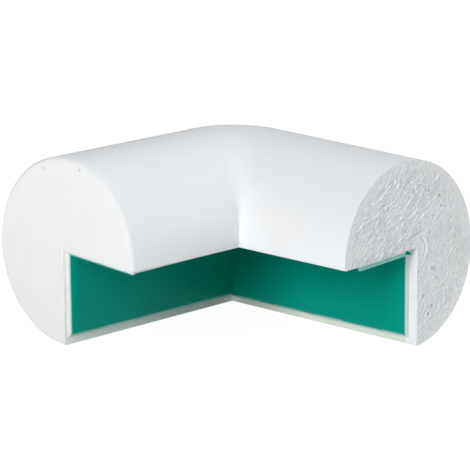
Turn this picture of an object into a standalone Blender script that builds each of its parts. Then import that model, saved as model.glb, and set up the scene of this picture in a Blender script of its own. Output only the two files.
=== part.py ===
"""Foam corner guard for the edge of a table, shelf or worktop.

A round foam profile with a square notch runs along two legs that meet at a
right angle. The right leg lies along +X and the left leg along -Y. The notch
opens inward and down, so the guard drops over a corner from outside: its flap
lies on the top and its two walls stand against the edges. Adhesive strips with
release liners cover the flap's underside and the two walls.

Units are metres, +Z is up. The guard stands on the lower edges of its walls,
and the origin is the centre of its bounding box, at the bottom.
"""

import math

import bmesh
import bpy

# Foam profile. The notch is a little tighter than a right angle, so that the
# foam springs back against the board: wall and flap are thinner at its root.
PROFILE_RADIUS = 0.0200
WALL_THICKNESS_AT_ROOT = 0.0184
WALL_THICKNESS_AT_FOOT = 0.0192
FLAP_THICKNESS_AT_ROOT = 0.0194
FLAP_THICKNESS_AT_LIP = 0.0204

# Legs, measured along the foot inside the notch, from the corner of the walls
INNER_LENGTH_RIGHT = 0.0507
INNER_LENGTH_LEFT = 0.0524

# Corner seen from above
CREST_CORNER_RADIUS = 0.0070
VALLEY_FADE = 2.6
FOOT_CORNER_WIDTH = 0.0058

# Ends of the legs
MOULDED_EDGE_RADIUS = 0.0008
KNIFE_CUT_LEAN = 0.0021

# Adhesive strips and their release liners
TAPE_THICKNESS = 0.0005
LINER_THICKNESS = 0.0002
SEAT_GAP = 0.0003
STRIP_ROOT_MARGIN = 0.0019
WALL_TAPE_FOOT_MARGIN = 0.0025
WALL_TAPE_END_MARGIN_RIGHT = 0.0023
WALL_TAPE_END_MARGIN_LEFT = 0.0011
TOP_TAPE_END_MARGIN = 0.0003
TOP_TAPE_LIP_INSET_RIGHT = 0.0038
TOP_TAPE_LIP_INSET_LEFT = 0.0005

# Fineness of the foam body's surface
QUARTER_SEGMENTS = 22
CORNER_SEGMENTS = 14
EDGE_SEGMENTS = 3

# The profile's centre lines cross at the local origin. A line of the sweep is
# placed by its reach, which is how far it lies towards the inside of the corner
# from the centre line, and by its height above the centre line.
ROOT_REACH = WALL_THICKNESS_AT_ROOT - PROFILE_RADIUS
ROOT_HEIGHT = PROFILE_RADIUS - FLAP_THICKNESS_AT_ROOT
FOOT_REACH = WALL_THICKNESS_AT_FOOT - PROFILE_RADIUS
FOOT_DEPTH = math.sqrt(PROFILE_RADIUS ** 2 - FOOT_REACH ** 2)
LIP_HEIGHT = PROFILE_RADIUS - FLAP_THICKNESS_AT_LIP
LIP_REACH = math.sqrt(PROFILE_RADIUS ** 2 - LIP_HEIGHT ** 2)
LEG_RIGHT = INNER_LENGTH_RIGHT + FOOT_REACH
LEG_LEFT = INNER_LENGTH_LEFT + FOOT_REACH
CUT_SLOPE = KNIFE_CUT_LEAN / (2 * PROFILE_RADIUS)

# Strip with its liner, from the foam to the liner's outer face
STACK = 2 * SEAT_GAP + TAPE_THICKNESS + LINER_THICKNESS

WELD_DISTANCE = 0.000001


def clear_scene():
    """Remove every object of the scene."""
    for obj in list(bpy.data.objects):
        bpy.data.objects.remove(obj, do_unlink=True)


def make_collection(name):
    """Make a collection in the scene."""
    collection = bpy.data.collections.new(name)
    bpy.context.scene.collection.children.link(collection)
    return collection


def make_material(name, colour, roughness):
    """Make a plain material of one colour."""
    material = bpy.data.materials.new(name)
    material.use_nodes = True
    shader = material.node_tree.nodes["Principled BSDF"]
    shader.inputs["Base Color"].default_value = (*colour, 1.0)
    shader.inputs["Roughness"].default_value = roughness
    shader.inputs["Metallic"].default_value = 0.0
    material.diffuse_color = (*colour, 1.0)
    return material


def make_root(collection):
    """Make the empty that carries all pieces, with the guard's bottom centre at the world origin."""
    low_x = -PROFILE_RADIUS
    high_x = LEG_RIGHT + CUT_SLOPE * FOOT_DEPTH
    low_y = -LEG_LEFT
    high_y = PROFILE_RADIUS
    root = bpy.data.objects.new("corner_guard", None)
    root.empty_display_size = PROFILE_RADIUS
    root.location = (-(low_x + high_x) / 2, -(low_y + high_y) / 2, FOOT_DEPTH)
    collection.objects.link(root)
    return root


def add_piece(name, mesh, material, root, collection):
    """Add a mesh as a piece under the root."""
    piece = bpy.data.objects.new(name, mesh)
    piece.parent = root
    mesh.materials.clear()
    mesh.materials.append(material)
    collection.objects.link(piece)
    return piece


def section_points():
    """Return the section as (reach, height) pairs, from the lip over the crest and back to the lip."""
    lip_angle = math.asin(LIP_HEIGHT / PROFILE_RADIUS)
    foot_angle = math.pi + math.acos(-FOOT_REACH / PROFILE_RADIUS)
    stops = [lip_angle, math.pi / 2, math.pi, foot_angle]
    points = []
    for start, end in zip(stops, stops[1:]):
        for step in range(QUARTER_SEGMENTS):
            angle = start + (end - start) * step / QUARTER_SEGMENTS
            reach = PROFILE_RADIUS * math.cos(angle)
            height = PROFILE_RADIUS * math.sin(angle)
            points.append((reach, height))
    points.append((FOOT_REACH, -FOOT_DEPTH))
    points.append((ROOT_REACH, ROOT_HEIGHT))
    points.append(points[0])
    return points


def turn_radius(index, reach, height):
    """Return the radius, seen from above, that a line of the outer skin turns round the corner."""
    if index >= 3 * QUARTER_SEGMENTS:
        return 0.0
    if reach > 0:
        return CREST_CORNER_RADIUS * (1 - (reach / LIP_REACH) ** VALLEY_FADE)
    round_radius = CREST_CORNER_RADIUS - reach
    if height > 0:
        return round_radius
    sharpening = 1 - (FOOT_REACH - reach) / FOOT_CORNER_WIDTH
    return round_radius * (1 - max(0.0, sharpening))


def sweep_position(station, index, reach, height):
    """Return where a section point lies at a station, from the right end (0) to the left end."""
    if station == 0:
        return (LEG_RIGHT - CUT_SLOPE * height, -reach, height)
    if station == CORNER_SEGMENTS + 2:
        return (reach, -LEG_LEFT, height)
    radius = turn_radius(index, reach, height)
    centre = reach + radius
    turn = math.pi / 2 * (station - 1) / CORNER_SEGMENTS
    return (centre - radius * math.sin(turn), radius * math.cos(turn) - centre, height)


def foam_mesh():
    """Loft the foam body as one closed mesh."""
    section = section_points()
    stations = CORNER_SEGMENTS + 2
    columns = len(section) - 1
    bm = bmesh.new()
    bmesh.ops.create_grid(bm, x_segments=stations, y_segments=columns, size=0.5)
    for vert in bm.verts:
        station = round((vert.co.x + 0.5) * stations)
        index = round((vert.co.y + 0.5) * columns)
        reach, height = section[index]
        vert.co = sweep_position(station, index, reach, height)
    bmesh.ops.remove_doubles(bm, verts=bm.verts[:], dist=WELD_DISTANCE)
    open_edges = [edge for edge in bm.edges if edge.is_boundary]
    bmesh.ops.holes_fill(bm, edges=open_edges, sides=0)
    round_moulded_end(bm)
    bm.normal_update()
    bmesh.ops.recalc_face_normals(bm, faces=bm.faces[:])
    mesh = bpy.data.meshes.new("foam_body")
    bm.to_mesh(mesh)
    bm.free()
    mesh.shade_smooth()
    mesh.set_sharp_from_angle(angle=math.radians(35))
    return mesh


def round_moulded_end(bm):
    """Round the outer rim of the left end, where the foam left its mould."""
    tolerance = WELD_DISTANCE * 10
    rim = []
    for edge in bm.edges:
        ends = [vert.co for vert in edge.verts]
        in_end_face = all(abs(co.y + LEG_LEFT) < tolerance for co in ends)
        on_skin = all(abs(math.hypot(co.x, co.z) - PROFILE_RADIUS) < tolerance for co in ends)
        if in_end_face and on_skin:
            rim.append(edge)
    bmesh.ops.bevel(
        bm,
        geom=rim,
        offset=MOULDED_EDGE_RADIUS,
        segments=EDGE_SEGMENTS,
        profile=0.5,
        affect="EDGES",
        material=-1,
    )


def notch_face(face):
    """Return a notch face's length and its unit vectors, along it from the root and off it."""
    if face == "wall":
        end_reach, end_height = FOOT_REACH, -FOOT_DEPTH
        turn = 1
    else:
        end_reach, end_height = LIP_REACH, LIP_HEIGHT
        turn = -1
    length = math.hypot(end_reach - ROOT_REACH, end_height - ROOT_HEIGHT)
    along = ((end_reach - ROOT_REACH) / length, (end_height - ROOT_HEIGHT) / length)
    off = (-turn * along[1], turn * along[0])
    return length, along, off


def notch_point(face, distance, lift):
    """Return (reach, height) of a point at a distance from the root and a lift off the face."""
    along, off = notch_face(face)[1:]
    reach = ROOT_REACH + along[0] * distance + off[0] * lift
    height = ROOT_HEIGHT + along[1] * distance + off[1] * lift
    return reach, height


def strip_mesh(name, side, face, layer):
    """Make one layer of a strip from a cube: the adhesive strip itself, or the liner that lies on it."""
    length = notch_face(face)[0]
    if face == "wall":
        far = length - WALL_TAPE_FOOT_MARGIN
        end_margin = {"right": WALL_TAPE_END_MARGIN_RIGHT, "left": WALL_TAPE_END_MARGIN_LEFT}[side]
    else:
        far = length - {"right": TOP_TAPE_LIP_INSET_RIGHT, "left": TOP_TAPE_LIP_INSET_LEFT}[side]
        end_margin = TOP_TAPE_END_MARGIN
    if layer == "tape":
        inner, outer = SEAT_GAP, SEAT_GAP + TAPE_THICKNESS
    else:
        inner, outer = STACK - LINER_THICKNESS, STACK
    leg = {"right": LEG_RIGHT, "left": LEG_LEFT}[side]
    mitre = SEAT_GAP / math.sqrt(2)

    bm = bmesh.new()
    bmesh.ops.create_cube(bm, size=1.0)
    for vert in bm.verts:
        distance = STRIP_ROOT_MARGIN if vert.co.y < 0 else far
        reach, height = notch_point(face, distance, inner if vert.co.z < 0 else outer)
        run = reach + mitre if vert.co.x < 0 else leg - end_margin
        vert.co = (run, -reach, height) if side == "right" else (reach, -run, height)
    bm.normal_update()
    bmesh.ops.recalc_face_normals(bm, faces=bm.faces[:])
    mesh = bpy.data.meshes.new(name)
    bm.to_mesh(mesh)
    bm.free()
    return mesh


def build():
    """Build the guard."""
    clear_scene()
    collection = make_collection("corner_edge_protector")
    root = make_root(collection)
    foam = make_material("white_foam", (0.90, 0.90, 0.89), 0.75)
    tape = make_material("adhesive_tape", (0.72, 0.73, 0.71), 0.60)
    liner = make_material("green_liner", (0.0, 0.20, 0.14), 0.25)
    add_piece("foam_body", foam_mesh(), foam, root, collection)
    for side in ("right", "left"):
        for face, place in (("wall", "wall"), ("flap", "top")):
            for layer, material in (("tape", tape), ("liner", liner)):
                name = f"{place}_{layer}_{side}"
                mesh = strip_mesh(name, side, face, layer)
                add_piece(name, mesh, material, root, collection)


build()
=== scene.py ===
import math

import bmesh
import bpy
from mathutils import Matrix, Vector, noise


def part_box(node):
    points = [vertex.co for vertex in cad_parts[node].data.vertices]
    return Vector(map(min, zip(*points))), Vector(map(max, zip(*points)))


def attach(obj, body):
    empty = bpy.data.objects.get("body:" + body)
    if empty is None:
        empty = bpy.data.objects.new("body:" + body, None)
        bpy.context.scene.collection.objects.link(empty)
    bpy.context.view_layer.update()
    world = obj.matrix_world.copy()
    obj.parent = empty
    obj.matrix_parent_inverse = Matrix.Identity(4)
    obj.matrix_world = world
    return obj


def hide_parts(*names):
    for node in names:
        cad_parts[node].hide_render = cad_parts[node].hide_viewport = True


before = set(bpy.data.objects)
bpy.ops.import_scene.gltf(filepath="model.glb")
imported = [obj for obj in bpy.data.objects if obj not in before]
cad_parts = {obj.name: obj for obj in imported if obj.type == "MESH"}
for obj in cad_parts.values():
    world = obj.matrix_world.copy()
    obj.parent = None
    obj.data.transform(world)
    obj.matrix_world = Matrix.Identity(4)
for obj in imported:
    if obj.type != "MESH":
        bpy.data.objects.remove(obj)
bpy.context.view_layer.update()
bpy.context.scene.view_settings.view_transform = "Standard"

# The guard is looked at from its inner corner, a little from above, through a
# long lens. Its legs' centre lines cross at a point that the foam body's box
# gives, and every place below is counted from that point, in millimetres.
MM = 0.001
PROFILE_RADIUS = 20.0
CROSSING_HEIGHT = 19.984
foam_low, foam_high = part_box("foam_body")
CROSSING = Vector((
    foam_low[0] + PROFILE_RADIUS * MM,
    foam_high[1] - PROFILE_RADIUS * MM,
    CROSSING_HEIGHT * MM,
))

# Angles in radians, distances in metres
VIEW_TURN = 0.7447
VIEW_RISE = 0.2405
VIEW_TILT = 0.0213
VIEW_DISTANCE = 0.796599
VIEW_ASIDE = 0.0002335
VIEW_DROP = 0.0046598
CLIP_START = 0.05
LENS = 280.24
SENSOR_WIDTH = 36.0

backward = Vector((
    math.sin(VIEW_TURN) * math.cos(VIEW_RISE),
    -math.cos(VIEW_TURN) * math.cos(VIEW_RISE),
    math.sin(VIEW_RISE),
))
level = (-backward).cross(Vector((0, 0, 1))).normalized()
rising = level.cross(-backward)
camera_data = bpy.data.cameras.new("camera")
camera_data.lens = LENS
camera_data.sensor_width = SENSOR_WIDTH
camera_data.clip_start = CLIP_START
camera = bpy.data.objects.new("camera", camera_data)
bpy.context.scene.collection.objects.link(camera)
right_hand = math.cos(VIEW_TILT) * level + math.sin(VIEW_TILT) * rising
upright = -math.sin(VIEW_TILT) * level + math.cos(VIEW_TILT) * rising
camera.matrix_world = Matrix((right_hand, upright, backward)).transposed().to_4x4()
camera.location = CROSSING + backward * VIEW_DISTANCE + level * VIEW_ASIDE - rising * VIEW_DROP
bpy.context.scene.camera = camera


# The foam body is one moulding of white integral-skin polyurethane: a round
# profile with a square notch, turned round a right angle. Its left end came out
# of the mould with a soft rim, and its right end was sawn off with a knife.
SECTION_MIDDLE = {"root": (-1.6, 0.6), "foot_reach": -0.8, "lip_height": -0.64}
SECTION_RIGHT = {"root": (-2.57, 1.17), "foot_reach": -2.05, "lip_height": -0.21}
SECTION_LEFT = {"root": (-0.74, 0.19), "foot_reach": 0.37, "lip_height": -0.68}
CREST_CORNER_RADIUS = 7.0
VALLEY_FADE = 2.6
FOOT_CORNER_WIDTH = 5.8
LIP_ROUNDING = 0.32
FOOT_ROUNDING = 0.16
ROOT_BEND = 0.385
SOFT_RIM = 0.95
NOTCH_RIM = 0.35
RIGHT_LENGTH, RIGHT_SLANT, RIGHT_LEAN = 49.89, 0.0137, 0.0528
LEFT_LENGTH, LEFT_SLANT, LEFT_LEAN = 51.64, 0.0243, 0.004

# The loft's columns run round the section, and its rows from the middle of the
# sawn face along the right leg and the left leg to the middle of the moulded face.
HUB = (-7.0, 6.0)
SKIN_COLUMNS, NOTCH_COLUMNS, LIP_COLUMNS, FOOT_COLUMNS = 324, 64, 8, 5
LEG_ROWS, TURN_ROWS, RIM_ROWS = 10, 30, 5
CUT_ROWS, MOULDED_ROWS = 108, 22
WELD = 0.000002


def face_line(section, face):
    """Return a notch face's root, its directions along itself and off the foam, and its length."""
    root = Vector(section["root"])
    if face == "wall":
        reach = section["foot_reach"]
        end = Vector((reach, -math.sqrt(PROFILE_RADIUS ** 2 - reach ** 2)))
    else:
        height = section["lip_height"]
        end = Vector((math.sqrt(PROFILE_RADIUS ** 2 - height ** 2), height))
    along = (end - root).normalized()
    out = Vector((-along.y, along.x)) if face == "wall" else Vector((along.y, -along.x))
    return root, along, out, (end - root).length


def rounded_edge(section, face, radius):
    """Return the centre of the rounding between a notch face and the skin."""
    root, along, out, _ = face_line(section, face)
    start = root - out * radius
    middle = start.dot(along)
    reach = math.sqrt(middle ** 2 - start.length_squared + (PROFILE_RADIUS - radius) ** 2)
    return start + along * (reach - middle)


def arc(centre, radius, start, end, count):
    """Return points along an arc, without its last one."""
    steps = [start + (end - start) * step / count for step in range(count)]
    return [(centre[0] + radius * math.cos(a), centre[1] + radius * math.sin(a)) for a in steps]


def straight(start, end, count):
    """Return points along a straight line, without its last one."""
    return [tuple(start.lerp(end, step / count)) for step in range(count)]


def outline(section):
    """Return the section's outline, from the lip over the crest and the foot back to the lip."""
    wall_root, wall_along, wall_out, _ = face_line(section, "wall")
    flap_root, flap_along, flap_out, _ = face_line(section, "flap")
    lip = rounded_edge(section, "flap", LIP_ROUNDING)
    foot = rounded_edge(section, "wall", FOOT_ROUNDING)
    lip_turn = math.atan2(lip.y, lip.x)
    foot_turn = math.atan2(foot.y, foot.x) % math.tau
    flap_turn = math.atan2(flap_out.y, flap_out.x)
    wall_turn = math.atan2(wall_out.y, wall_out.x) + math.tau
    bend = [wall_root + wall_along * ROOT_BEND, wall_root, flap_root + flap_along * ROOT_BEND]
    points = arc(lip, LIP_ROUNDING, flap_turn, lip_turn, LIP_COLUMNS)
    points += arc((0, 0), PROFILE_RADIUS, lip_turn, foot_turn, SKIN_COLUMNS)
    points += arc(foot, FOOT_ROUNDING, foot_turn, wall_turn, FOOT_COLUMNS)
    points += straight(foot + wall_out * FOOT_ROUNDING, bend[0], NOTCH_COLUMNS)
    for step in range(FOOT_COLUMNS):
        share = step / FOOT_COLUMNS
        low = bend[0].lerp(bend[1], share)
        points.append(tuple(low.lerp(bend[1].lerp(bend[2], share), share)))
    points += straight(bend[2], lip + flap_out * LIP_ROUNDING, NOTCH_COLUMNS)
    points.append(points[0])
    return points


def corner_radius(column, reach, height):
    """Return the radius, seen from above, that one line of the skin turns round the corner."""
    skin_start, skin_end = LIP_COLUMNS, LIP_COLUMNS + SKIN_COLUMNS
    fade = 1.0
    if column < skin_start or column >= skin_end + FOOT_COLUMNS:
        return 0.0
    if column >= skin_end:
        fade = 1 - (column - skin_end) / FOOT_COLUMNS
    if reach > 0:
        return CREST_CORNER_RADIUS * (1 - min(1.0, reach / PROFILE_RADIUS) ** VALLEY_FADE)
    radius = CREST_CORNER_RADIUS - reach
    if height < 0:
        radius *= min(1.0, (SECTION_MIDDLE["foot_reach"] - reach) / FOOT_CORNER_WIDTH)
    return max(0.0, radius) * fade


def right_end(reach, height):
    """Return how far the right leg's sawn face lies along the leg."""
    return RIGHT_LENGTH - RIGHT_SLANT * reach - RIGHT_LEAN * height


def left_end(reach, height):
    """Return how far the left leg's moulded face lies along the leg."""
    return LEFT_LENGTH + LEFT_SLANT * reach - LEFT_LEAN * height


# The knife's strokes lie at an angle in degrees, steeper low on the sawn face.
# A stroke's sizes are its length and width. The face is smoother round its rim,
# by the notch's root and towards the foot, where a share of the relief is left.
STROKE_TURN, STROKE_TURN_LOW = 38.0, 62.0
STEEPER_BELOW, STEEPER_OVER = 4.0, 16.0
WAVER, WAVER_RATE = 0.8, 0.16
STROKE_SIZES, FINE_STROKE_SIZES, FINE_STROKES = (1.9, 0.40), (0.9, 0.28), 0.8
CHATTER_SIZES, CHATTER_POWER = (4.0, 0.8), 0.8
CRUMB_SIZES = (0.34, 0.34)
BROAD_RATE = 0.22
STROKE_DEPTH, CRUMB_DEPTH, CHATTER_DEPTH, BROAD_DEPTH = 0.32, 0.07, 0.22, 0.15
SMOOTH_RIM, SMOOTH_RIM_FADE = 0.5, 2.4
SMOOTH_ROOT, SMOOTH_ROOT_FADE, ROOT_SHARE = 2.2, 2.0, 0.2
FLAP_FROM, FLAP_OVER, FOOT_SHARE = -4.0, 10.0, 0.55

# A scar is a path of (reach, height) places, the depth of its dent and its
# width. A depth below zero is a ridge. A pit is its reach, height and radius.
SCARS = [
    ([(2.4, 2.5), (0.99, 2.99), (-0.6, 3.59), (-1.72, 3.83), (-2.84, 4.08), (-3.6, 4.4)],
     0.34, 0.17),
    ([(-3.2, 3.6), (-3.78, 3.07), (-4.57, 2.30), (-4.96, 1.49), (-5.11, 0.61), (-4.94, -0.22),
      (-4.3, -1.4)],
     0.36, 0.17),
    ([(-4.1, 3.55), (-5.3, 2.4), (-5.75, 1.4), (-5.45, -0.6), (-4.85, -1.5), (-4.2, -3.0)],
     -0.18, 0.24),
]
SCAR_LIP, SCAR_LIP_PLACE, SCAR_LIP_WIDTH = 0.45, 0.55, 0.26
PATH_FADE = 4
LONG_STROKES = [
    [(4.1, 8.6), (2.2, 9.5), (0.3, 10.7), (-2.0, 12.6), (-3.9, 14.5)],
    [(2.2, 5.7), (-0.3, 7.2), (-2.9, 9.0), (-4.8, 10.2)],
    [(9.6, 12.2), (7.8, 14.0), (5.2, 15.9)],
]
LONG_DEPTH, LONG_WAVER, LONG_WIDTH = 0.15, 0.3, 0.30
PITS = [
    (-0.05, 15.41, 0.30), (-1.36, 13.35, 0.42), (-6.38, 12.64, 0.30), (-10.52, 8.95, 0.46),
    (-4.33, 9.45, 0.34), (6.70, 10.85, 0.36), (-7.87, -4.14, 0.40), (-7.07, -3.90, 0.22),
    (-8.50, -6.12, 0.34), (-4.43, -9.64, 0.34), (-7.24, -12.05, 0.30), (-5.90, -13.64, 0.42),
    (-6.67, 3.68, 0.30), (7.78, 11.69, 0.24), (-9.90, 11.10, 0.22),
]
PIT_STRETCH, PIT_RAGGED, PIT_LUMPS, PIT_SEED = 1.15, 0.25, 3, 50
PIT_DEPTH, PIT_RIM, PIT_RIM_PLACE, PIT_RIM_WIDTH, PIT_LIMIT = 1.3, 0.30, 1.45, 0.4, 3


def ramp(value, start, width):
    """Return how far a value is past a start, from 0 there to 1 after a width."""
    return max(0.0, min(1.0, (value - start) / width))


def bell(value, width):
    """Return a soft bump's height, 1 at a value of zero."""
    return math.exp(-(value / width) ** 2)


def streak(along, across, sizes, seed):
    """Return a noise that is stretched to a length and a width."""
    return noise.noise((along / sizes[0], across / sizes[1], seed))


def path_offset(place, path):
    """Return a place's distance from a path, below zero on its right, and a fade to its ends."""
    best = (math.inf, 1.0, 0.0)
    for index, (start, end) in enumerate(zip(path, path[1:])):
        start, end = Vector(start), Vector(end)
        line = end - start
        share = max(0.0, min(1.0, (place - start).dot(line) / line.length_squared))
        gap = place - start - line * share
        if gap.length < best[0]:
            side = 1.0 if line.x * gap.y - line.y * gap.x > 0 else -1.0
            best = (gap.length, side, (index + share) / (len(path) - 1))
    distance, side, share = best
    return distance * side, min(1.0, PATH_FADE * share, PATH_FADE * (1 - share))


def saw_marks(reach, height):
    """Return the sawn face's relief: strokes, long ridges, pits and a scar by the notch."""
    low = ramp(-height, -STEEPER_BELOW, STEEPER_OVER)
    turn = math.radians(STROKE_TURN + (STROKE_TURN_LOW - STROKE_TURN) * low)
    along = -reach * math.cos(turn) + height * math.sin(turn)
    across = reach * math.sin(turn) + height * math.cos(turn)
    across += WAVER * noise.noise((reach * WAVER_RATE, height * WAVER_RATE, 3.0))
    strokes = streak(along, across, STROKE_SIZES, seed=0.0)
    strokes += FINE_STROKES * streak(along, across, FINE_STROKE_SIZES, seed=7.0)
    crumbs = streak(reach, height, CRUMB_SIZES, seed=15.0)
    chatter = max(0.0, streak(along, across, CHATTER_SIZES, seed=12.0)) ** CHATTER_POWER
    broad = noise.noise((reach * BROAD_RATE, height * BROAD_RATE, 20.0))
    place = Vector((reach, height))
    inside = ramp(PROFILE_RADIUS - math.hypot(reach, height), SMOOTH_RIM, SMOOTH_RIM_FADE)
    root_gap = (place - Vector(SECTION_RIGHT["root"])).length
    off_root = ROOT_SHARE + (1 - ROOT_SHARE) * ramp(root_gap, SMOOTH_ROOT, SMOOTH_ROOT_FADE)
    on_flap = FOOT_SHARE + (1 - FOOT_SHARE) * ramp(reach + height, FLAP_FROM, FLAP_OVER)
    rough = inside * off_root * on_flap
    relief = rough * (STROKE_DEPTH * strokes + CRUMB_DEPTH * crumbs + CHATTER_DEPTH * chatter)
    relief += BROAD_DEPTH * broad * inside
    for path, dent, width in SCARS:
        gap, fade = path_offset(place, path)
        relief -= fade * dent * bell(gap, width)
        relief += fade * SCAR_LIP * abs(dent) * bell(abs(gap) - SCAR_LIP_PLACE, SCAR_LIP_WIDTH)
    for path in LONG_STROKES:
        gap, fade = path_offset(place, path)
        relief += inside * fade * LONG_DEPTH * bell(gap + LONG_WAVER * strokes, LONG_WIDTH)
    for pit_reach, pit_height, size in PITS:
        aside, above = reach - pit_reach, height - pit_height
        lumps = noise.noise((aside * PIT_LUMPS, above * PIT_LUMPS, size * PIT_SEED))
        gap = math.hypot(aside * PIT_STRETCH, above) / size * (1 + PIT_RAGGED * lumps)
        if gap < PIT_LIMIT:
            rim = PIT_RIM * bell(gap - PIT_RIM_PLACE, PIT_RIM_WIDTH)
            relief += size * (rim - PIT_DEPTH * math.exp(-gap ** 4))
    return relief


def foam_point(row, column, plans):
    """Return where a column of the outline lies in a row of the loft."""
    middle, right, left = (plan[column] for plan in plans)
    radius = corner_radius(column, *middle)
    centre = middle[0] + radius
    row -= CUT_ROWS
    if row < 0:
        inward = -row / CUT_ROWS
        reach = right[0] + (HUB[0] - right[0]) * inward
        height = right[1] + (HUB[1] - right[1]) * inward
        return Vector((right_end(reach, height) + saw_marks(reach, height), -reach, height))
    if row <= LEG_ROWS:
        share = 1 - row / LEG_ROWS
        reach = middle[0] + (right[0] - middle[0]) * share
        height = middle[1] + (right[1] - middle[1]) * share
        return Vector((centre + (right_end(reach, height) - centre) * share, -reach, height))
    row -= LEG_ROWS
    if row < TURN_ROWS:
        turn = math.pi / 2 * row / TURN_ROWS
        turned = (centre - radius * math.sin(turn), radius * math.cos(turn) - centre)
        return Vector((*turned, middle[1]))
    row -= TURN_ROWS
    on_skin = LIP_COLUMNS <= column < LIP_COLUMNS + SKIN_COLUMNS
    rim = SOFT_RIM if on_skin else NOTCH_RIM
    if row < LEG_ROWS:
        share = row / LEG_ROWS
        reach = middle[0] + (left[0] - middle[0]) * share
        height = middle[1] + (left[1] - middle[1]) * share
        end = left_end(reach, height) - rim
        return Vector((reach, -(centre + (end - centre) * share), height))
    row -= LEG_ROWS
    hub, edge = Vector(HUB), Vector(left)
    inset = (hub - edge).normalized()
    if row < RIM_ROWS:
        turn = math.pi / 2 * row / RIM_ROWS
        place = edge + inset * rim * (1 - math.cos(turn))
        return Vector((place.x, -(left_end(*place) - rim * (1 - math.sin(turn))), place.y))
    row -= RIM_ROWS
    place = (edge + inset * rim).lerp(hub, row / MOULDED_ROWS)
    return Vector((place.x, -left_end(*place), place.y))


def finish_piece(name, bm, materials, node_name, crease):
    """Make a piece from a bmesh in place, sharp past an angle in degrees, for its CAD node."""
    mesh = bpy.data.meshes.new(name)
    bm.to_mesh(mesh)
    bm.free()
    for material in materials:
        mesh.materials.append(material)
    mesh.shade_smooth()
    mesh.set_sharp_from_angle(angle=math.radians(crease))
    piece = bpy.data.objects.new(name, mesh)
    bpy.context.scene.collection.objects.link(piece)
    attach(piece, "root")
    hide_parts(node_name)
    return piece


foam_rows = CUT_ROWS + LEG_ROWS + TURN_ROWS + LEG_ROWS + RIM_ROWS + MOULDED_ROWS
foam_plans = [outline(section) for section in (SECTION_MIDDLE, SECTION_RIGHT, SECTION_LEFT)]
foam_columns = len(foam_plans[0]) - 1
bm = bmesh.new()
bmesh.ops.create_grid(bm, x_segments=foam_rows, y_segments=foam_columns, size=0.5)
for vert in bm.verts:
    row = round((vert.co.x + 0.5) * foam_rows)
    column = round((vert.co.y + 0.5) * foam_columns)
    vert.co = CROSSING + foam_point(row, column, foam_plans) * MM
bmesh.ops.remove_doubles(bm, verts=bm.verts[:], dist=WELD)
bm.normal_update()
bmesh.ops.recalc_face_normals(bm, faces=bm.faces[:])
bm.normal_update()

# Faces go to the skin, or by their place and how squarely they face to the sawn
# end, the moulded end or the walls of the notch, which carry painted shade.
SAWN, MOULDED, SHADED_WALL = 1, 2, 3
SAWN_DEPTH, SAWN_FACING = 0.9, 0.3
MOULDED_DEPTH, MOULDED_FACING = 0.3, 0.9
SHADED_WALL_FROM, SHADED_WALL_TO, SHADED_WALL_TOP, SHADED_WALL_FACING = -3.0, 0.6, 0.5, 0.5
for face in bm.faces:
    run, aside, height = (face.calc_center_median() - CROSSING) / MM
    on_wall = SHADED_WALL_FROM < min(run, -aside) < SHADED_WALL_TO and height < SHADED_WALL_TOP
    if run > right_end(-aside, height) - SAWN_DEPTH and face.normal.x > SAWN_FACING:
        face.material_index = SAWN
    elif aside < -left_end(run, height) + MOULDED_DEPTH and face.normal.y < -MOULDED_FACING:
        face.material_index = MOULDED
    elif on_wall and abs(face.normal.z) < SHADED_WALL_FACING:
        face.material_index = SHADED_WALL


def feed(tree, made, inputs):
    """Set or link a node's inputs, each given as (socket, value or output)."""
    for socket, value in inputs:
        if isinstance(value, bpy.types.NodeSocket):
            tree.links.new(value, made.inputs[socket])
        else:
            made.inputs[socket].default_value = value
    return made


def node(tree, kind, inputs=(), **settings):
    """Add a node, set its properties and feed its inputs."""
    made = tree.nodes.new(kind)
    for key, value in settings.items():
        setattr(made, key, value)
    return feed(tree, made, inputs)


def clouds(tree, place, scale, detail, roughness):
    """Return a noise pattern."""
    return node(tree, "ShaderNodeTexNoise", [
        ("Vector", place), ("Scale", scale), ("Detail", detail), ("Roughness", roughness),
    ]).outputs["Fac"]


def spread(tree, value, start, end, low=0.0, high=1.0, **settings):
    """Return a value's run from start to end as a run from low to high."""
    return node(tree, "ShaderNodeMapRange", [
        ("Value", value), ("From Min", start), ("From Max", end), ("To Min", low), ("To Max", high),
    ], **settings).outputs["Result"]


def reckoned(tree, operation, first, second):
    """Return the result of a sum on two values."""
    return node(tree, "ShaderNodeMath", [(0, first), (1, second)], operation=operation).outputs[0]


def scaled(tree, mask, factor):
    """Return a mask times a factor."""
    return reckoned(tree, "MULTIPLY", mask, factor)


def mixed(tree, share, under, over):
    """Return a colour with another laid over it by a share."""
    made = node(tree, "ShaderNodeMix", [("Factor", share), ("A", under), ("B", over)],
                data_type="RGBA")
    return made.outputs[2]


def bumped(tree, height, strength, depth, under=None):
    """Return the normal of a surface that a height roughens, on top of another normal or none."""
    inputs = [("Strength", strength), ("Distance", depth), ("Height", height)]
    if under is not None:
        inputs.append(("Normal", under))
    return node(tree, "ShaderNodeBump", inputs).outputs["Normal"]


def shader_group(name, inputs, outputs):
    """Start a shader node group with named sockets, each given as (name, type, value)."""
    group = bpy.data.node_groups.new(name, "ShaderNodeTree")
    for label, kind, value in inputs:
        socket_type = f"NodeSocket{kind}"
        socket = group.interface.new_socket(label, in_out="INPUT", socket_type=socket_type)
        if value is not None:
            socket.default_value = value
    for label, kind in outputs:
        group.interface.new_socket(label, in_out="OUTPUT", socket_type=f"NodeSocket{kind}")
    given = group.nodes.new("NodeGroupInput").outputs
    return group, given, group.nodes.new("NodeGroupOutput")


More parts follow.
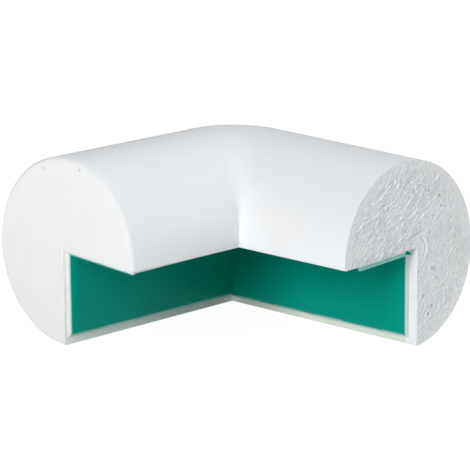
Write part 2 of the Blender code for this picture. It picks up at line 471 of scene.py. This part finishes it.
def make_mottle():
    """Make the group that varies a foam's colour softly and gives its surface's fine grain."""
    group, given, put = shader_group(
        "foam mottle",
        [("Place", "Vector", None), ("Pale", "Color", None), ("Warm", "Color", None),
         ("Grain Size", "Float", 2500.0), ("Cloud Size", "Float", 60.0)],
        [("Color", "Color"), ("Height", "Float"), ("Roughness", "Float")],
    )
    cloud = clouds(group, given["Place"], given["Cloud Size"], detail=3.0, roughness=0.55)
    warm = spread(group, cloud, start=0.35, end=0.7)
    feed(group, put, [
        ("Color", mixed(group, warm, given["Pale"], given["Warm"])),
        ("Height", clouds(group, given["Place"], given["Grain Size"], detail=4.0, roughness=0.6)),
        ("Roughness", spread(group, cloud, start=0.3, end=0.7, low=0.58, high=0.72)),
    ])
    return group


def make_spot():
    """Make the group that masks a round spot with a soft edge at a place."""
    group, given, put = shader_group(
        "soft spot",
        [("Place", "Vector", None), ("Centre", "Vector", None),
         ("Inner", "Float", 0.0), ("Outer", "Float", 0.001)],
        [("Mask", "Float")],
    )
    gap = node(group, "ShaderNodeVectorMath", [(0, given["Place"]), (1, given["Centre"])],
               operation="DISTANCE").outputs["Value"]
    mask = spread(group, gap, start=given["Inner"], end=given["Outer"], low=1.0, high=0.0,
                  interpolation_type="SMOOTHSTEP")
    feed(group, put, [("Mask", mask)])
    return group


mottle = make_mottle()
soft_spot = make_spot()


def new_material(name):
    """Start a material, and return it with its tree, its shader and its Object coordinates."""
    material = bpy.data.materials.new(name)
    material.use_nodes = True
    tree = material.node_tree
    place = tree.nodes.new("ShaderNodeTexCoord").outputs["Object"]
    return material, tree, tree.nodes["Principled BSDF"], place


def mottled(tree, place, pale, warm, grain, cloud):
    """Place the mottle group in a material with its colours and sizes, and return its outputs."""
    return node(tree, "ShaderNodeGroup", [
        ("Place", place), ("Pale", (*pale, 1.0)), ("Warm", (*warm, 1.0)),
        ("Grain Size", grain), ("Cloud Size", cloud),
    ], node_tree=mottle).outputs


def spots(tree, place, centres, inner, outer):
    """Return the joint mask of round spots at some centres."""
    masks = []
    for centre in centres:
        spot = node(tree, "ShaderNodeGroup", [
            ("Place", place), ("Centre", CROSSING + Vector(centre) * MM),
            ("Inner", inner * MM), ("Outer", outer * MM),
        ], node_tree=soft_spot)
        masks.append(spot.outputs["Mask"])
    joint = masks[0]
    for mask in masks[1:]:
        joint = reckoned(tree, "MAXIMUM", joint, mask)
    return joint


# The skin has a faint warm stain near the right flap's lip and a few nicks where
# the two lips meet, painted dark grey as the shade in their dents, and the moulded
# end has two pin holes, painted dark as the shade inside them. A share is how far a
# spot's colour covers the foam's, and a depth how far it sinks in the relief.
STAINS = [(31.2, -19.5, 4.3), (27.0, -18.7, 7.2), (33.4, -19.0, 6.3)]
NICKS = [
    (20.0, -21.7, 0.33), (20.0, -21.2, 0.15), (20.0, -20.75, 0.12),
    (20.1, -20.05, 0.25), (20.05, -20.15, 0.5),
]
PIN_HOLES = [(-7.0, -51.4, 16.73), (3.99, -51.7, 18.17)]
STAIN_COLOUR, STAIN_SHARE = (0.87, 0.845, 0.82, 1.0), 0.45
NICK_SHADE_COLOUR, NICK_SHADE_SHARE, NICK_DEPTH = (0.40, 0.39, 0.40, 1.0), 0.42, 4.0
HOLE_SHADE_COLOUR, HOLE_SHADE_SHARE, HOLE_DEPTH = (0.45, 0.44, 0.42, 1.0), 0.4, 6.0

skin, tree, shader, place = new_material("moulded foam skin")
surface = mottled(tree, place, pale=(0.868, 0.892, 0.915), warm=(0.855, 0.876, 0.895),
                  grain=1500.0, cloud=55.0)
stain = spots(tree, place, STAINS, inner=1.5, outer=5.5)
nick = spots(tree, place, NICKS, inner=0.05, outer=0.42)
stained = mixed(tree, scaled(tree, stain, STAIN_SHARE), surface["Color"], STAIN_COLOUR)
# Painted shade: the nicks are darkened to grey as well as bumped in as dents.
nick_shaded = mixed(tree, scaled(tree, nick, NICK_SHADE_SHARE), stained, NICK_SHADE_COLOUR)
relief = reckoned(tree, "SUBTRACT", surface["Height"], scaled(tree, nick, NICK_DEPTH))
feed(tree, shader, [
    ("Base Color", nick_shaded),
    ("Roughness", surface["Roughness"]),
    ("Normal", bumped(tree, relief, strength=0.5, depth=0.00004)),
])

moulded, tree, shader, place = new_material("moulded foam end")
surface = mottled(tree, place, pale=(0.884, 0.890, 0.892), warm=(0.868, 0.868, 0.855),
                  grain=1900.0, cloud=130.0)
hole = spots(tree, place, PIN_HOLES, inner=0.12, outer=0.42)
# Painted shade: the pin holes are darkened where light can't reach inside them.
shaded_hollows = mixed(tree, scaled(tree, hole, HOLE_SHADE_SHARE), surface["Color"], HOLE_SHADE_COLOUR)
relief = reckoned(tree, "SUBTRACT", surface["Height"], scaled(tree, hole, HOLE_DEPTH))
feed(tree, shader, [
    ("Base Color", shaded_hollows),
    ("Roughness", surface["Roughness"]),
    ("Normal", bumped(tree, relief, strength=0.5, depth=0.00005)),
])

# The sawn face shows the foam's open cells and furrows along the knife's strokes,
# with painted shade along the furrows and painted shade on the floors of its pits.
CELL_SCALE, CELL_DEPTH = 1900.0, 0.5
FURROW_SIZES = (0.001, 0.00062, 0.00030)
FURROW_TURN = STROKE_TURN + 6.0
FURROW_SHADE_COLOUR, FURROW_SHADE_SHARE = (0.77, 0.795, 0.82, 1.0), 0.5
PIT_SHADE_COLOUR, PIT_SHADE_SHARE = (0.22, 0.21, 0.20, 1.0), 0.42

sawn, tree, shader, place = new_material("knife-sawn foam")
surface = mottled(tree, place, pale=(0.950, 0.970, 0.990), warm=(0.935, 0.952, 0.968),
                  grain=3200.0, cloud=160.0)
cells = node(tree, "ShaderNodeTexVoronoi", [
    ("Vector", place), ("Scale", CELL_SCALE), ("Randomness", 1.0)])
cell_walls = spread(tree, cells.outputs["Distance"], start=0.1, end=0.5)
flat_place = node(tree, "ShaderNodeVectorMath", [(0, place), (1, (0.0, 1.0, 1.0))],
                  operation="MULTIPLY").outputs[0]
pit_centres = [(-CROSSING.x / MM, -reach, height) for reach, height, _ in PITS]
pit_shade = spots(tree, flat_place, pit_centres, inner=0.14, outer=0.38)
along_strokes = node(tree, "ShaderNodeMapping", [
    ("Vector", place), ("Rotation", (math.radians(FURROW_TURN), 0.0, 0.0)),
    ("Scale", FURROW_SIZES),
], vector_type="TEXTURE").outputs[0]
scratches = clouds(tree, along_strokes, scale=1.0, detail=2.0, roughness=0.6)
# Painted shade: the foam is darkened in streaks along the furrows, as well as bumped.
furrow_shade = spread(tree, scratches, start=0.56, end=0.40, high=FURROW_SHADE_SHARE)
furrow_shaded = mixed(tree, furrow_shade, surface["Color"], FURROW_SHADE_COLOUR)
# Painted shade: the pits' floors are darkened.
shaded_hollows = mixed(tree, scaled(tree, pit_shade, PIT_SHADE_SHARE), furrow_shaded, PIT_SHADE_COLOUR)
relief = reckoned(tree, "ADD", surface["Height"], scaled(tree, cell_walls, CELL_DEPTH))
crumbled = bumped(tree, relief, strength=0.8, depth=0.00013)
feed(tree, shader, [
    ("Base Color", shaded_hollows),
    ("Roughness", 0.85),
    ("Normal", bumped(tree, scratches, strength=1.0, depth=0.00045, under=crumbled)),
])

# The notch's walls are painted greenish grey as shade and green bounce light under
# the strips; the left wall is painted paler as painted light, and the right wall
# has the foam's own colour beyond its strip. Each place is a run along the right leg.
LEFT_WALL_FROM, LEFT_WALL_TO = 1.8, 0.6
BARE_FROM, BARE_TO = 47.9, 48.2
LEFT_WALL_LIGHT_COLOUR = (0.945, 0.96, 0.925, 1.0)
BARE_COLOUR = (0.86, 0.885, 0.905, 1.0)

shaded_wall, tree, shader, place = new_material("notch wall with painted shade")
surface = mottled(tree, place, pale=(0.77, 0.81, 0.75), warm=(0.71, 0.75, 0.68),
                  grain=1500.0, cloud=160.0)
along_leg = node(tree, "ShaderNodeSeparateXYZ", [(0, place)]).outputs["X"]
left_wall_light = spread(tree, along_leg, CROSSING.x + LEFT_WALL_FROM * MM,
                   CROSSING.x + LEFT_WALL_TO * MM)
bare = spread(tree, along_leg, CROSSING.x + BARE_FROM * MM, CROSSING.x + BARE_TO * MM)
# Painted light: the left wall is painted paler than the right.
lightened = mixed(tree, left_wall_light, surface["Color"], LEFT_WALL_LIGHT_COLOUR)
feed(tree, shader, [
    ("Base Color", mixed(tree, bare, lightened, BARE_COLOUR)),
    ("Roughness", surface["Roughness"]),
    ("Normal", bumped(tree, surface["Height"], strength=0.5, depth=0.00006)),
])

foam_materials = [skin, sawn, moulded, shaded_wall]
foam_body = finish_piece("foam_moulding", bm, foam_materials, "foam_body", crease=48)


# The four adhesive strips are die-cut from thin white foam tape. One lines each
# wall of the notch and one lines each flap, stuck to the skin all over and
# mitred where they meet in the corner.
STRIPS = [("right", "wall"), ("right", "flap"), ("left", "wall"), ("left", "flap")]
FACE_NAMES = {"wall": "wall", "flap": "top"}

# Heights of a layer's two faces over the foam, and how far it reaches past its
# strip's margins
BOND = 0.02
TAPE_LIFTS = {
    ("right", "wall"): (BOND, 1.01), ("left", "wall"): (BOND, 1.01),
    ("right", "flap"): (BOND, 0.40), ("left", "flap"): (BOND, 0.16),
}
TAPE_OVERHANGS = {"wall": 0.0, "flap": 0.0}
TAPE_ROUNDING = 0.05

# Margins from the notch's root, from its far edge at the corner and at the leg's
# end, and from the leg's end itself
ROOT_MARGINS = {
    ("right", "wall"): 0.2, ("left", "wall"): 0.2,
    ("right", "flap"): 3.4, ("left", "flap"): 1.8,
}
CORNER_MARGINS = {
    ("right", "wall"): 1.30, ("left", "wall"): 1.46,
    ("right", "flap"): 3.8, ("left", "flap"): 0.7,
}
FAR_MARGINS = {
    ("right", "wall"): 1.18, ("left", "wall"): 2.14,
    ("right", "flap"): 3.8, ("left", "flap"): 0.7,
}
END_MARGINS = {
    ("right", "wall"): 2.12, ("left", "wall"): 0.77,
    ("right", "flap"): 0.3, ("left", "flap"): 0.14,
}

# The left wall's strip swells towards its end. A strip's far edge is pressed
# thinner by a share of its height, over a width.
SWELL = {"right": 0.0, "left": 0.34}
FOOT_PRESSED = {"right": 0.35, "left": 0.5}
FOOT_WIDTH = {"right": 0.9, "left": 1.0}
LIP_PRESSED, LIP_WIDTH = 0.8, 1.6
END_FALL, END_WIDTH = 0.3, 2.0
NOMINAL_RUN = 50.0
STRIP_RUNS, STRIP_BANDS = 64, 44
UNEVEN_EDGE, EDGE_WAVES = 0.07, (9.0, 2.0)
UNEVEN_FACE, FACE_WAVES, FACE_SEED, FACE_FADE = 0.03, (5.0, 2.5), 4.0, 6
TAB_POWER = 20
MITRE_TOLERANCE = 0.00001
SHARP_ANGLE = 1.0
CUT_FACING = 0.85


def face_point(side, face, share, distance, lift, end_margin):
    """Return a point off a notch face, at a share of the run from the mitre to a strip's end."""
    end_section = SECTION_RIGHT if side == "right" else SECTION_LEFT
    end_of_leg = right_end if side == "right" else left_end
    ends = []
    for section in (SECTION_MIDDLE, end_section):
        root, along, out, _ = face_line(section, face)
        ends.append(root + along * distance + out * lift)
    start, end = ends
    reach, height = start.lerp(end, share)
    run = start.x + (end_of_leg(end.x, end.y) - end_margin - start.x) * share
    return Vector((run, -reach, height)) if side == "right" else Vector((reach, -run, height))


def pressed_lift(side, face, share, to_edge, lift):
    """Return a lift after a strip's swelling and the pressing of its far edge and its end."""
    to_end = NOMINAL_RUN * (1 - share)
    if face == "flap":
        thin = max(0.0, 1 - to_edge / LIP_WIDTH) * min(1.0, to_end / END_WIDTH)
        return lift * (1 - LIP_PRESSED * thin)
    lift *= 1 + SWELL[side] * share
    lift *= 1 - FOOT_PRESSED[side] * max(0.0, 1 - to_edge / FOOT_WIDTH[side]) ** 2
    if side == "left":
        lift -= min(lift - BOND, END_FALL * max(0.0, 1 - to_end / END_WIDTH) ** 2)
    return lift


def eased(place):
    """Return a grid's place from -0.5 to 0.5 as a share, with more of them near its ends."""
    return 0.5 - 0.5 * math.cos(math.pi * (place + 0.5))


def strip_mesh(side, face, lifts, overhang, tab):
    """Make one layer of a strip from a grid, with slightly uneven die-cut edges."""
    length = face_line(SECTION_MIDDLE, face)[3]
    near = ROOT_MARGINS[side, face] - overhang
    corner_margin = CORNER_MARGINS[side, face] - overhang
    far_margin = FAR_MARGINS[side, face] - overhang
    end_margin = END_MARGINS[side, face] - overhang
    seed = 1.0 + len(side) + len(face)
    bm = bmesh.new()
    bmesh.ops.create_grid(bm, x_segments=STRIP_RUNS, y_segments=STRIP_BANDS, size=0.5)
    grown = bmesh.ops.extrude_face_region(bm, geom=bm.faces[:])
    raised = {item for item in grown["geom"] if isinstance(item, bmesh.types.BMVert)}
    for vert in bm.verts:
        share, band = eased(vert.co.x), eased(vert.co.y)
        far = length - corner_margin - (far_margin - corner_margin) * share
        waves = noise.noise((share * EDGE_WAVES[0], band * EDGE_WAVES[1], seed))
        distance = near + (far - near) * band + UNEVEN_EDGE * waves
        lift = lifts[1] if vert in raised else lifts[0]
        lift = pressed_lift(side, face, share, (far - near) * (1 - band), lift)
        if vert in raised:
            waves = noise.noise((share * FACE_WAVES[0], band * FACE_WAVES[1], FACE_SEED))
            lift += UNEVEN_FACE * waves * min(1.0, FACE_FADE * share)
        torn = 0.0
        if tab:
            across = (distance - tab["middle"]) / tab["half_width"]
            torn = tab["length"] * share ** TAB_POWER * max(0.0, 1 - across ** 4)
        point = face_point(side, face, share, distance, lift, end_margin - torn)
        vert.co = CROSSING + point * MM
    bm.normal_update()
    bmesh.ops.recalc_face_normals(bm, faces=bm.faces[:])
    bm.normal_update()
    return bm


def at_mitre(edge):
    """Tell whether an edge lies in the upright plane that halves the guard's corner."""
    offsets = [vert.co.x - CROSSING.x + vert.co.y - CROSSING.y for vert in edge.verts]
    return all(abs(offset) < MITRE_TOLERANCE for offset in offsets)


def soften_edges(bm, radius):
    """Bevel the sharp edges of a strip's layer, apart from those of its mitre."""
    sharp = [e for e in bm.edges if e.calc_face_angle() > SHARP_ANGLE and not at_mitre(e)]
    bmesh.ops.bevel(bm, geom=sharp, offset=radius * MM, segments=2, profile=0.5,
                    affect="EDGES", material=-1)


def mark_cut_sides(bm, side, face):
    """Give the cut sides of a strip's layer its second material."""
    level_axis = 2 if face == "flap" else {"right": 1, "left": 0}[side]
    for cut in bm.faces:
        if abs(cut.normal[level_axis]) < CUT_FACING:
            cut.material_index = 1


def lay_strips(layer, node_layer, lifts, overhangs, rounding, materials, tabs):
    """Lay one layer of all four strips, each as a piece that stands for its CAD node."""
    for side, face in STRIPS:
        bm = strip_mesh(side, face, lifts[side, face], overhangs[face], tabs.get((side, face)))
        mark_cut_sides(bm, side, face)
        soften_edges(bm, rounding)
        name = f"{FACE_NAMES[face]}_{layer}_{side}"
        node_name = f"{FACE_NAMES[face]}_{node_layer}_{side}"
        finish_piece(name, bm, materials, node_name, crease=40)


cut_foam, tree, shader, place = new_material("cut foam tape")
surface = mottled(tree, place, pale=(0.83, 0.85, 0.86), warm=(0.79, 0.80, 0.80),
                  grain=3000.0, cloud=400.0)
feed(tree, shader, [
    ("Base Color", surface["Color"]),
    ("Roughness", 0.9),
    ("Normal", bumped(tree, surface["Height"], strength=0.6, depth=0.0001)),
])

# Painted light: the tape's face is greyed and tinted green as painted shade and green bounce light
# from the film.
bounce_tinted_tape, tree, shader, place = new_material("white foam tape with painted bounce")
surface = mottled(tree, place, pale=(0.80, 0.85, 0.815), warm=(0.77, 0.82, 0.765),
                  grain=4200.0, cloud=300.0)
feed(tree, shader, [
    ("Base Color", surface["Color"]),
    ("Roughness", 0.8),
    ("Normal", bumped(tree, surface["Height"], strength=0.5, depth=0.00006)),
])

lay_strips("strip", "tape", TAPE_LIFTS, TAPE_OVERHANGS, TAPE_ROUNDING,
           [bounce_tinted_tape, cut_foam], tabs={})


# The release liners are thin glossy green film, die-cut like the strips. They
# lie flat on the adhesive, which shows round them on the walls, and are peeled
# off when the guard is fitted. The right wall's film ends in a small tab.
FILM_LIFTS = {
    ("right", "wall"): (1.02, 1.27), ("left", "wall"): (1.02, 1.27),
    ("right", "flap"): (0.41, 1.14), ("left", "flap"): (0.17, 0.36),
}
FILM_OVERHANGS = {"wall": -0.14, "flap": 0.04}
FILM_ROUNDING = 0.03
TABS = {("right", "wall"): {"length": 1.7, "middle": 1.35, "half_width": 0.5}}
FILM_DEEP = (0.0, 0.308, 0.226, 1.0)
FILM_BRIGHT = (0.0, 0.324, 0.240, 1.0)
FILM_GLINT = (0.0, 0.85, 0.65, 1.0)
EDGE_DEEP = (0.14, 0.47, 0.41, 1.0)
EDGE_PALE = (0.28, 0.66, 0.60, 1.0)

film, tree, shader, place = new_material("green release film")
waves = clouds(tree, place, scale=110.0, detail=2.0, roughness=0.5)
smears = clouds(tree, place, scale=900.0, detail=3.0, roughness=0.6)
shade = spread(tree, waves, start=0.3, end=0.7)
feed(tree, shader, [
    ("Base Color", mixed(tree, shade, FILM_DEEP, FILM_BRIGHT)),
    ("Specular Tint", FILM_GLINT),
    ("Specular IOR Level", 0.15),
    ("Roughness", spread(tree, smears, start=0.3, end=0.7, low=0.30, high=0.36)),
    ("Normal", bumped(tree, waves, strength=0.25, depth=0.0003)),
])

film_edge, tree, shader, place = new_material("film's cut edge")
streaks = clouds(tree, place, scale=700.0, detail=3.0, roughness=0.6)
feed(tree, shader, [
    ("Base Color", mixed(tree, streaks, EDGE_DEEP, EDGE_PALE)),
    ("Roughness", 0.6),
])

lay_strips("film", "liner", FILM_LIFTS, FILM_OVERHANGS, FILM_ROUNDING,
           [film, film_edge], tabs=TABS)


# The guard stands on a plain white floor in a white room. Soft lamps hang at
# its front left, at its right and high behind it, and the floor throws some of
# their light up into the notch.
WHITE = (1.0, 1.0, 1.0, 1.0)
FLOOR_COLOUR = (0.96, 0.96, 0.96, 1.0)
SHADOW_COLOUR = (0.20, 0.20, 0.20, 1.0)
FLOOR_GLOW = 0.93
FLOOR_SIZE = 3.0
FLOOR_DROP = 0.00005
ROOM_LIGHT = 0.08
LAMP_DISTANCE = 0.95

floor_mesh = bpy.data.meshes.new("floor")
bm = bmesh.new()
bmesh.ops.create_grid(bm, x_segments=1, y_segments=1, size=FLOOR_SIZE)
bm.to_mesh(floor_mesh)
bm.free()
floor = bpy.data.objects.new("floor", floor_mesh)
floor.location.z = -FLOOR_DROP
bpy.context.scene.collection.objects.link(floor)

paper = bpy.data.materials.new("white floor")
paper.use_nodes = True
tree = paper.node_tree
tree.nodes.clear()
matt = node(tree, "ShaderNodeBsdfDiffuse", [("Color", FLOOR_COLOUR)])
faint = node(tree, "ShaderNodeBsdfDiffuse", [("Color", SHADOW_COLOUR)])
glow = node(tree, "ShaderNodeEmission", [("Color", WHITE), ("Strength", FLOOR_GLOW)])
lifted = node(tree, "ShaderNodeAddShader", [(0, faint.outputs[0]), (1, glow.outputs[0])])
ray = node(tree, "ShaderNodeLightPath").outputs
seen = reckoned(tree, "MAXIMUM", ray["Is Camera Ray"], ray["Is Glossy Ray"])
both = node(tree, "ShaderNodeMixShader", [(0, seen), (1, matt.outputs[0]), (2, lifted.outputs[0])])
node(tree, "ShaderNodeOutputMaterial", [("Surface", both.outputs[0])])
floor_mesh.materials.append(paper)

world = bpy.data.worlds.new("white room")
bpy.context.scene.world = world
world.use_nodes = True
tree = world.node_tree
tree.nodes.clear()
room = node(tree, "ShaderNodeBackground", [("Color", WHITE), ("Strength", ROOM_LIGHT)])
white = node(tree, "ShaderNodeBackground", [("Color", WHITE), ("Strength", 1.0)])
ray = node(tree, "ShaderNodeLightPath").outputs
seen = reckoned(tree, "MAXIMUM", ray["Is Camera Ray"], ray["Is Transmission Ray"])
both = node(tree, "ShaderNodeMixShader", [(0, seen), (1, room.outputs[0]), (2, white.outputs[0])])
node(tree, "ShaderNodeOutputWorld", [("Surface", both.outputs[0])])


def add_lamp(name, turn, rise, size, power):
    """Hang a square soft lamp that faces the guard, from a direction given in degrees."""
    lamp = bpy.data.lights.new(name, "AREA")
    lamp.shape = "SQUARE"
    lamp.size = size
    lamp.energy = power
    hung = bpy.data.objects.new(name, lamp)
    turn, rise = math.radians(turn), math.radians(rise)
    level_part = math.cos(rise)
    away = Vector((math.sin(turn) * level_part, -math.cos(turn) * level_part, math.sin(rise)))
    hung.location = away * LAMP_DISTANCE
    hung.rotation_euler = away.to_track_quat("Z", "Y").to_euler()
    bpy.context.scene.collection.objects.link(hung)


add_lamp("front_lamp", turn=16, rise=27, size=0.50, power=6.3)
add_lamp("back_lamp", turn=180, rise=62, size=0.55, power=3.4)
add_lamp("right_lamp", turn=130, rise=27, size=0.55, power=2.3)
